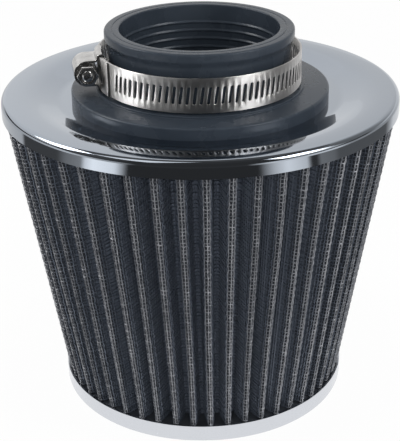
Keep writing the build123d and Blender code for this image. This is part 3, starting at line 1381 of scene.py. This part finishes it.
@dataclass
class HoseClamp:
    """Worm-drive clamp: slotted band, screw housing and worm screw."""

    band_box: NodeBox = NodeBox.of("clamp_band")
    neck_r: float = InletNeck.bore_r + InletNeck.neck_wall
    band_slack: float = 3.2
    band_width: float = 12.7
    band_thickness: float = 0.6
    band_climb: float = 0.65
    band_start: float = 177.5
    band_sweep: float = 392.0
    plain_lead: float = 40.0
    plain_tail: float = 4.0
    slot_pitch: float = 2.54
    slot_length: float = 6.6
    slot_width: float = 1.2
    slot_slant: float = 8.0
    slot_points: int = 16
    cell_weld: float = 0.001
    end_reach: float = 0.025
    edge_round: float = 0.05
    edge_segments: int = 2
    edge_sharp: float = 0.7
    housing_azimuth: float = 189.5
    housing_back: float = -7.0
    housing_front: float = 5.0
    housing_wall: float = 0.7
    housing_rows: int = 12
    housing_round: float = 0.16
    housing_sharp: float = 0.9
    saddle_round: float = 1.2
    flange_round: float = 1.5
    dome_foot_round: float = 0.7
    dome_steps: int = 20
    fit_gap: float = 0.1
    screw_gap: float = 0.3
    worm_r: float = 3.9
    worm_core_r: float = 3.0
    worm_pitch: float = 2.54
    worm_rows: int = 56
    worm_segments: int = 40
    thread_crown: float = 1.6
    thread_slope: float = 4.4
    thread_fade: float = 1.0
    shank_r: float = 2.9
    shank_step: float = 0.05
    shank_lap: float = 0.2
    head_flats: float = 7.0
    head_length: float = 3.1
    head_round: float = 0.18
    head_sharp: float = 1.2
    head_rim: float = 0.6
    head_dish: float = 0.9
    dish_taper: tuple[float, float] = (-0.35, 0.15)
    dish_round: float = 0.3
    overcut: float = 0.5
    button_r: float = 2.45
    button_rise: float = 1.25
    button_sink: float = 0.5
    button_round: float = 1.3
    cross_width: float = 0.6
    cross_length: float = 2.6
    cross_depth: float = 1.5
    cross_taper: float = 0.45
    round_segments: int = 48
    bevel_segments: int = 3
    strip_attribute: str = "flat_strip"

    def __post_init__(self) -> None:
        """Work out the radii, the heights along the screw and the screw's frame from the sizes."""
        self.band_inner_r = self.neck_r + self.band_slack
        self.mean_r = self.band_inner_r + self.band_thickness
        self.tail_outer_r = self.mean_r + self.band_climb * self.band_sweep / 360
        self.flange_r = self.tail_outer_r + self.fit_gap + self.housing_wall
        self.screw_r = self.tail_outer_r + self.screw_gap + self.worm_r
        self.worm_end = self.housing_front - self.housing_wall - self.fit_gap
        self.head_back = self.housing_front + self.fit_gap
        self.head_top = self.head_back + self.head_length
        self.dish_z = self.head_top - self.head_dish
        self.middle_z = (self.band_box.low.z + self.band_box.high.z) / 2
        angle = math.radians(self.housing_azimuth)
        up, out = Vector((0, 0, 1)), Vector((math.cos(angle), math.sin(angle), 0))
        axes = Matrix((up, out, up.cross(out))).transposed().to_4x4()
        self.screw_frame = Matrix.Translation((0, 0, self.middle_z)) @ axes

    def along(self, degrees: float) -> float:
        """Length of the flat strip that takes up an angle round the neck."""
        return math.radians(degrees) * self.mean_r

    def slot_cell(self) -> Piece:
        """One pitch of the flat strip with its slanted slot.

        Returns:
            The cell, with the strip's length along X.
        """
        cell = begin("clamp_strip", bpy.ops.mesh.primitive_plane_add, size=1)
        bpy.ops.object.mode_set(mode="EDIT")
        bpy.ops.transform.resize(value=(self.slot_pitch, self.band_width, 1))
        bpy.ops.mesh.delete(type="ONLY_FACE")
        bpy.ops.mesh.select_all(action="SELECT")
        bpy.ops.mesh.subdivide(number_cuts=self.slot_points // 4 - 1)
        bpy.ops.mesh.primitive_circle_add(vertices=self.slot_points, radius=self.slot_width / 2)
        bpy.ops.object.mode_set(mode="OBJECT")
        straight = (self.slot_length - self.slot_width) / 2
        lean = math.tan(math.radians(self.slot_slant))
        for vertex in cell.data.vertices:
            if vertex.select:
                if abs(vertex.co.y) > WELD:
                    vertex.co.y += math.copysign(straight, vertex.co.y)
                vertex.co.x += lean * vertex.co.y
        bpy.ops.object.mode_set(mode="EDIT")
        bpy.ops.mesh.select_all(action="SELECT")
        bpy.ops.mesh.bridge_edge_loops()
        bpy.ops.mesh.normals_make_consistent(inside=False)
        bpy.ops.object.mode_set(mode="OBJECT")
        return cell

    def stretch_end(self, strip: Piece, edge_x: float, length: float) -> None:
        """Draw out a plain end of the flat strip.

        Args:
            strip: The flat strip.
            edge_x: Place of the end's edge.
            length: Length to add, negative towards the start.
        """
        pick_only(strip)
        bpy.ops.object.mode_set(mode="EDIT")
        bpy.ops.mesh.select_mode(type="VERT")
        bpy.ops.mesh.select_all(action="DESELECT")
        bpy.ops.object.mode_set(mode="OBJECT")
        for vertex in strip.data.vertices:
            vertex.select = abs(vertex.co.x - edge_x) < self.end_reach
        bpy.ops.object.mode_set(mode="EDIT")
        steps = max(1, round(abs(length) / self.slot_pitch))
        for step in range(steps):
            bpy.ops.mesh.extrude_region_move(TRANSFORM_OT_translate={"value": (length / steps, 0, 0)})
        bpy.ops.object.mode_set(mode="OBJECT")

    def roll(self, place: Vector) -> Vector:
        """Where a point of the flat strip lies once it is rolled round the neck.

        Args:
            place: Point of the flat strip, with the strip's start at X 0.

        Returns:
            The rolled point.
        """
        turned_by = place.x / self.mean_r
        angle = math.radians(self.band_start) + turned_by
        radius = self.band_inner_r + self.band_climb * turned_by / FULL_TURN + place.z
        return Vector((radius * math.cos(angle), radius * math.sin(angle), self.middle_z + place.y))

    def band(self) -> Piece:
        """Slotted strip, rolled up with its tail over its start.

        Returns:
            The band.
        """
        strip = self.slot_cell()
        slotted = self.band_sweep - self.plain_lead - self.plain_tail
        count = int(self.along(slotted) / self.slot_pitch) + 1
        finish_modifier(
            strip,
            "ARRAY",
            count=count,
            use_relative_offset=False,
            use_constant_offset=True,
            constant_offset_displace=(self.slot_pitch, 0, 0),
            use_merge_vertices=True,
            merge_threshold=self.cell_weld,
        )
        start_x, end_x = -self.slot_pitch / 2, self.slot_pitch * (count - 0.5)
        lead = self.along(self.plain_lead)
        tail = self.along(self.band_sweep) - lead - self.slot_pitch * (count - 1)
        self.stretch_end(strip, start_x, start_x + self.slot_pitch - lead)
        self.stretch_end(strip, end_x, tail - self.slot_pitch / 2)
        finish_modifier(strip, "SOLIDIFY", thickness=self.band_thickness, offset=1.0)
        soften(strip, self.edge_round, self.edge_segments, self.edge_sharp)
        flat = strip.data.attributes.new(self.strip_attribute, "FLOAT_VECTOR", "POINT")
        for vertex in strip.data.vertices:
            vertex.co.x += lead
            flat.data[vertex.index].vector = vertex.co
        reshape(strip, self.roll)
        return strip

    def housing_line(self) -> list[Vector]:
        """Outer line of the housing's section, with height as radius and radius as height.

        Returns:
            Points of the closed line.
        """
        dome_r = self.worm_r + self.screw_gap + self.housing_wall
        half = self.band_width / 2 + self.fit_gap + self.housing_wall
        saddle_r = self.band_inner_r - self.fit_gap - self.housing_wall
        side = [
            Corner(half, saddle_r, self.saddle_round),
            Corner(half, self.flange_r, self.flange_round),
            Corner(dome_r, self.flange_r, self.dome_foot_round),
        ]
        mirrored = [Corner(-corner.radius, corner.height, corner.rounding) for corner in side[::-1]]
        shoulder, foot = Corner(dome_r, self.screw_r), Corner(-dome_r, self.screw_r)
        line = rounded([*side, shoulder, foot, *mirrored])
        dome = []
        for step in range(1, self.dome_steps):
            angle = math.pi * step / self.dome_steps
            across, out = dome_r * math.cos(angle), dome_r * math.sin(angle)
            dome.append(Vector((across, 0, self.screw_r + out)))
        cut = next(index for index, place in enumerate(line) if place == shoulder.place) + 1
        return line[:cut] + dome + line[cut:]

    def in_screw_frame(self, piece: Piece) -> Piece:
        """Carry a piece from the screw's own frame to the filter's.

        Args:
            piece: The piece, with X upwards, Y outwards and Z towards the screw's head.

        Returns:
            The piece in place.
        """
        piece.matrix_world = self.screw_frame
        settle(piece)
        return piece

    def out_to_screw(self, place: Vector) -> Vector:
        """Move a point from the Z axis out to the screw's axis."""
        return place + Vector((0, self.screw_r, 0))

    def wrap_saddle(self, place: Vector) -> Vector:
        """Bend the housing's saddle and flanges round the band.

        Args:
            place: Point in the screw's frame.

        Returns:
            The bent point.
        """
        share = min(max((self.screw_r - place.y) / (self.screw_r - self.flange_r), 0), 1)
        place.y -= share * place.z**2 / (2 * self.flange_r)
        return place

    def housing(self) -> Piece:
        """Stamped housing: dome, flanges and saddle as one sheet, and a pierced end wall.

        Returns:
            The housing.
        """
        line = [Vector((place.x, place.z, self.housing_back)) for place in self.housing_line()]
        sheet = draw_line("clamp_housing_sheet", line, True)
        row_length = (self.housing_front - self.housing_back) / self.housing_rows
        for row in range(self.housing_rows):
            bpy.ops.mesh.extrude_region_move(TRANSFORM_OT_translate={"value": (0, 0, row_length)})
        close_up()
        finish_modifier(sheet, "SOLIDIFY", thickness=self.housing_wall, offset=-1.0)
        reshape(sheet, self.wrap_saddle)
        hole_r = self.shank_r + self.fit_gap
        wall_r = self.worm_r + self.screw_gap + self.fit_gap
        wall_back = self.housing_front - self.housing_wall
        section = [
            Corner(hole_r, wall_back),
            Corner(wall_r, wall_back),
            Corner(wall_r, self.housing_front),
            Corner(hole_r, self.housing_front),
        ]
        wall = turned("housing_end_wall", rounded(section), self.round_segments)
        reshape(wall, self.out_to_screw)
        soften(sheet, self.housing_round, self.bevel_segments, self.housing_sharp)
        return self.in_screw_frame(join("clamp_housing_sheet", wall, sheet))

    def thread(self, place: Vector) -> Vector:
        """Draw a point of the worm's plain rod out to the thread.

        Args:
            place: Point of the rod, on the Z axis.

        Returns:
            The point with the thread on.
        """
        radius = math.hypot(place.x, place.y)
        if radius < self.worm_core_r - WELD or place.z > self.worm_end - WELD:
            return place
        phase = (place.z / self.worm_pitch - math.atan2(place.y, place.x) / FULL_TURN) % 1
        ridge = min(max(self.thread_crown - self.thread_slope * abs(phase - 0.5), 0), 1)
        from_end = min(place.z - self.housing_back, self.worm_end - place.z)
        fade = min(max(from_end / self.thread_fade, 0), 1)
        scale = (radius + (self.worm_r - self.worm_core_r) * ridge * fade) / radius
        return Vector((place.x * scale, place.y * scale, place.z))

    def worm(self) -> Piece:
        """Worm and shank: a turned rod whose flank is drawn out into a thread.

        Returns:
            The worm on the Z axis.
        """
        length = self.worm_end - self.housing_back
        line = [Vector((0, 0, self.housing_back))]
        for row in range(self.worm_rows + 1):
            height = self.housing_back + length * row / self.worm_rows
            line.append(Vector((self.worm_core_r, 0, height)))
        shank_top = self.head_back + self.shank_lap
        line.append(Vector((self.shank_r, 0, self.worm_end + self.shank_step)))
        line.append(Vector((self.shank_r, 0, shank_top)))
        line.append(Vector((0, 0, shank_top)))
        rod = turned("worm_rod", line, self.worm_segments, False)
        reshape(rod, self.thread)
        return rod

    def hexagon(self) -> Piece:
        """Hex of the screw's head, with a dished face.

        Returns:
            The hex on the Z axis.
        """
        hexagon = begin(
            "screw_head",
            bpy.ops.mesh.primitive_cylinder_add,
            vertices=6,
            radius=self.head_flats / math.sqrt(3),
            depth=self.head_length,
            location=(0, 0, self.head_back + self.head_length / 2),
        )
        settle(hexagon)
        soften(hexagon, self.head_round, self.bevel_segments, self.head_sharp)
        dish_r = self.head_flats / 2 - self.head_rim
        inward, outward = self.dish_taper
        section = [
            Corner(0, self.dish_z),
            Corner(dish_r + inward, self.dish_z, self.dish_round),
            Corner(dish_r + outward, self.head_top + self.overcut),
            Corner(0, self.head_top + self.overcut),
        ]
        cut_out(hexagon, turned("dish_cutter", rounded(section), self.round_segments, False))
        return hexagon

    def button(self) -> Piece:
        """Domed button in the dish of the screw's head, with a cross recess.

        Returns:
            The button on the Z axis.
        """
        foot_z, top_z = self.dish_z - self.button_sink, self.dish_z + self.button_rise
        section = [
            Corner(0, foot_z),
            Corner(self.button_r, foot_z),
            Corner(self.button_r, top_z, self.button_round),
            Corner(0, top_z),
        ]
        button = turned("screw_button", rounded(section), self.round_segments, False)
        sides = (self.cross_width, self.cross_length)
        for width, length in (sides, sides[::-1]):
            blade = begin("cross_blade", bpy.ops.mesh.primitive_cube_add, size=1, location=(0, 0, top_z))
            blade.scale = (width, length, self.cross_depth)
            settle(blade)
            for vertex in blade.data.vertices:
                if vertex.co.z < top_z:
                    vertex.co.x *= self.cross_taper
                    vertex.co.y *= self.cross_taper
            cut_out(button, blade)
        return button

    def screw(self) -> Piece:
        """Worm screw in its place.

        Returns:
            The screw.
        """
        worm, hexagon = self.worm(), self.hexagon()
        head = join("screw_head", self.button(), hexagon)
        screw = join("clamp_worm_screw", worm, head)
        reshape(screw, self.out_to_screw)
        return self.in_screw_frame(screw)

    def build(self, strip: Material, stamped: Material, turned_steel: Material) -> None:
        """Model the clamp and fit it.

        Args:
            strip: Finish of the band.
            stamped: Finish of the housing.
            turned_steel: Finish of the screw.
        """
        Fitting(Body.FILTER, Slot.CLAMP, ("clamp_band",)).fit(self.band(), strip)
        Fitting(Body.FILTER, Slot.CLAMP, ("clamp_housing",)).fit(self.housing(), stamped)
        Fitting(Body.SCREW, Slot.SCREW, ("clamp_screw",)).fit(self.screw(), turned_steel)


# Studio


@dataclass(frozen=True)
class SoftBox:
    """A soft rectangular lamp, which reflections don't show."""

    name: str
    place: tuple[float, float, float]
    size: tuple[float, float]
    radiance: float
    aim: tuple[float, float, float] = (0.0, 0.0, 0.09)

    def build(self) -> None:
        """Hang the lamp."""
        lamp = bpy.data.lights.new(self.name, "AREA")
        lamp.shape = "RECTANGLE"
        lamp.size, lamp.size_y = self.size
        lamp.energy = self.radiance * math.pi * self.size[0] * self.size[1]
        holder = put_in_scene(self.name, lamp)
        holder.visible_glossy = False
        holder.location = self.place
        holder.rotation_mode = "QUATERNION"
        aim = Vector(self.aim) - Vector(self.place)
        holder.rotation_quaternion = aim.to_track_quat("-Z", "Y")


@dataclass(frozen=True)
class TentRing:
    """A ring of the light tent that only reflections see, brighter and darker round the set.

    The line gives radius and height in metres, and the stops azimuth in degrees and brightness.
    """

    name: str
    line: tuple[tuple[float, float], ...]
    stops: tuple[tuple[float, float], ...]
    segments: int = 96

    def paper(self) -> Material:
        """Paper whose brightness follows the azimuth.

        Returns:
            The material.
        """
        material = bpy.data.materials.new(f"{self.name}_paper")
        bench = NodeBench(material)
        x, y = bench.axes(bench.place())[:2]
        turn = bench.compute("DIVIDE", bench.compute("ARCTAN2", y, x), FULL_TURN)
        stops = [(azimuth / 360, (brightness,) * 3) for azimuth, brightness in self.stops]
        glow = bench.ramp(bench.compute("FRACT", turn), stops)
        bench.show(bench.add("ShaderNodeEmission", {"Color": glow}).outputs[0])
        return material

    def build(self) -> None:
        """Hang the ring round the set."""
        line = [Vector((radius, 0, height)) for radius, height in self.line]
        ring = turned(self.name, line, self.segments, False)
        ring.data.materials.append(self.paper())
        ring.visible_camera = False
        ring.visible_diffuse = False
        ring.visible_shadow = False
        ring.visible_transmission = False


@dataclass(frozen=True)
class PhotoView:
    """The photograph's viewing angle, in millimetres, radians and pixels."""

    place: tuple[float, float, float] = (0.0, -438.2, 274.4)
    yaw: float = -0.0017
    pitch: float = 0.4427
    roll: float = -0.014
    focal_pixels: float = 1210.0
    long_side_pixels: float = 441.0
    nearest: float = 10.0

    def build(self) -> None:
        """Set up the camera."""
        camera = bpy.data.cameras.new("photo_view")
        camera.lens = self.focal_pixels / self.long_side_pixels * camera.sensor_width
        camera.clip_start = self.nearest * MM
        holder = put_in_scene("photo_view", camera)
        level = math.cos(self.pitch)
        across, along = math.sin(self.yaw) * level, math.cos(self.yaw) * level
        ahead = Vector((across, along, -math.sin(self.pitch)))
        right = ahead.cross(Vector((0, 0, 1))).normalized()
        up = right.cross(ahead)
        picture_right = right * math.cos(self.roll) + up * math.sin(self.roll)
        picture_up = up * math.cos(self.roll) - right * math.sin(self.roll)
        turn = Matrix((picture_right, picture_up, -ahead)).transposed().to_4x4()
        holder.matrix_world = Matrix.Translation(Vector(self.place) * MM) @ turn
        bpy.context.scene.camera = holder


@dataclass
class Studio:
    """White set: floor, even light from all round, soft boxes and a light tent."""

    floor_size: float = 12.0
    floor_colour: Colour = (0.92, 0.92, 0.92)
    floor_roughness: float = 0.9
    floor_glow: float = 0.965
    room_light: float = 0.42
    boxes: tuple[SoftBox, ...] = (
        SoftBox("left_box", (-0.93, 0.10, 0.50), (0.28, 0.40), 7.2),
        SoftBox("right_box", (0.88, -0.34, 0.50), (0.28, 0.40), 8.4),
        SoftBox("top_box", (0.0, 0.0, 1.25), (0.6, 0.6), 3.0),
        SoftBox("front_fill", (0.0, -0.95, 0.42), (0.6, 0.5), 3.0),
    )
    rings: tuple[TentRing, ...] = (
        TentRing(
            "tent_floor",
            ((0.10, 0.002), (0.60, 0.002)),
            (
                (0, 0.16), (28, 0.16), (40, 0.9), (160, 0.72), (163, 0.09), (191, 0.10), (197, 0.30),
                (207, 0.42), (209, 1.3), (214, 1.8), (226, 1.5), (233, 0.045), (299, 0.045), (307, 0.9),
                (314, 1.4), (325, 1.0), (327, 0.06), (331, 0.06), (333, 0.32), (342, 0.26), (345, 0.16),
                (359, 0.16),
            ),
        ),
        TentRing(
            "tent_skirting",
            ((0.60, 0.002), (1.25, 0.002), (1.25, 0.22)),
            (
                (0, 0.45), (30, 0.5), (60, 0.9), (150, 0.7), (165, 0.7), (196, 1.0), (206, 0.8),
                (226, 0.6), (236, 0.06), (294, 0.06), (306, 1.1), (346, 1.1), (355, 0.5), (359, 0.45),
            ),
        ),
        TentRing(
            "tent_strip",
            ((1.25, 0.22), (1.25, 0.44)),
            ((0, 0.05), (10, 0.05), (32, 0.85), (122, 1.0), (136, 0.05), (359, 0.05)),
        ),
        TentRing(
            "tent_wall",
            ((1.25, 0.44), (1.25, 0.8)),
            (
                (0, 0.2), (30, 0.35), (56, 0.72), (70, 0.78), (90, 0.90), (110, 1.0), (150, 0.9),
                (164, 0.8), (181, 0.8), (187, 0.15), (233, 0.05), (314, 0.05), (322, 0.8), (348, 0.8),
                (355, 0.3), (359, 0.2),
            ),
        ),
        TentRing(
            "tent_shoulder",
            ((1.25, 0.8), (1.25, 1.06), (0.95, 1.3)),
            (
                (0, 0.2), (30, 0.3), (60, 0.85), (120, 1.0), (150, 1.0), (156, 0.9), (160, 12.0),
                (182, 12.0), (189, 0.15), (233, 0.05), (314, 0.05), (321, 9.0), (340, 9.0), (353, 0.3),
                (359, 0.2),
            ),
        ),
        TentRing(
            "tent_roof",
            ((0.95, 1.3), (0.01, 1.45)),
            ((0, 0.12), (180, 0.12), (190, 1.5), (230, 1.5), (240, 0.06), (340, 0.06), (359, 0.12)),
        ),
    )

    def background_glow(self, bench: NodeBench) -> Socket:
        """Say where a ray shows the background: to the camera, in gloss and through glass.

        Args:
            bench: Nodes of the floor or the world.

        Returns:
            1 for such a ray and 0 for the light that falls on things.
        """
        rays = bench.add("ShaderNodeLightPath").outputs
        seen = bench.compute("MAXIMUM", rays["Is Camera Ray"], rays["Is Glossy Ray"])
        return bench.compute("MAXIMUM", seen, rays["Is Transmission Ray"])

    def build_floor(self) -> None:
        """Lay the pale floor, which glows to the camera and keeps the shadow."""
        floor = begin("floor", bpy.ops.mesh.primitive_plane_add, size=self.floor_size)
        material = bpy.data.materials.new("floor_paper")
        bench = NodeBench(material)
        paper = {"Base Color": (*self.floor_colour, 1), "Roughness": self.floor_roughness}
        bench.feed(bench.shader, paper)
        share = bench.compute("MULTIPLY", self.background_glow(bench), self.floor_glow)
        glow = bench.add("ShaderNodeEmission")
        layers = {0: share, 1: bench.shader.outputs[0], 2: glow.outputs[0]}
        bench.show(bench.add("ShaderNodeMixShader", layers).outputs[0])
        floor.data.materials.append(material)

    def build_world(self) -> None:
        """Light the set evenly and show white behind it."""
        world = bpy.data.worlds.new("white_room")
        bpy.context.scene.world = world
        bench = NodeBench(world)
        strength = bench.map_range(self.background_glow(bench), (0, 1), (self.room_light, 1))
        white = {"Color": (1, 1, 1, 1), "Strength": strength}
        bench.feed(bench.tree.nodes["Background"], white)

    def build(self) -> None:
        """Build the whole set."""
        self.build_floor()
        self.build_world()
        for piece in (*self.boxes, *self.rings, PhotoView()):
            piece.build()
        bpy.context.scene.view_settings.view_transform = "Standard"


def main() -> None:
    """Build the filter piece by piece and set it in the studio."""
    logging.basicConfig(level=logging.INFO, format="%(name)s: %(message)s")
    pleats = PleatPack()
    clamp = HoseClamp()
    potting = PottingFinish("potting_compound").make()
    InletNeck().build(RubberFinish("moulded_rubber").make())
    TopCover().build(ChromeFinish("plated_cover").make())
    ClosedEnd().build(SatinMetalFinish("bright_cap").make(), potting)
    cotton = CottonFinish("oiled_cotton", pleats.sheet_attribute, pleats.cone())
    pleats.build(cotton.make(), WireFinish("coated_wire", pleats.cone()).make())
    screw_steel = TurnedSteelFinish(
        "turned_steel", dark=(0.60, 0.59, 0.58), light=(0.80, 0.79, 0.78), roughness=(0.14, 0.22)
    )
    clamp.build(
        StripSteelFinish("rolled_strip", clamp.strip_attribute).make(),
        TurnedSteelFinish("stamped_steel").make(),
        screw_steel.make(),
    )
    seal = frame["nodes"]["top_seal"]
    seal.data.materials.clear()
    seal.data.materials.append(potting)
    Studio().build()


if __name__ == "__main__":
    main()
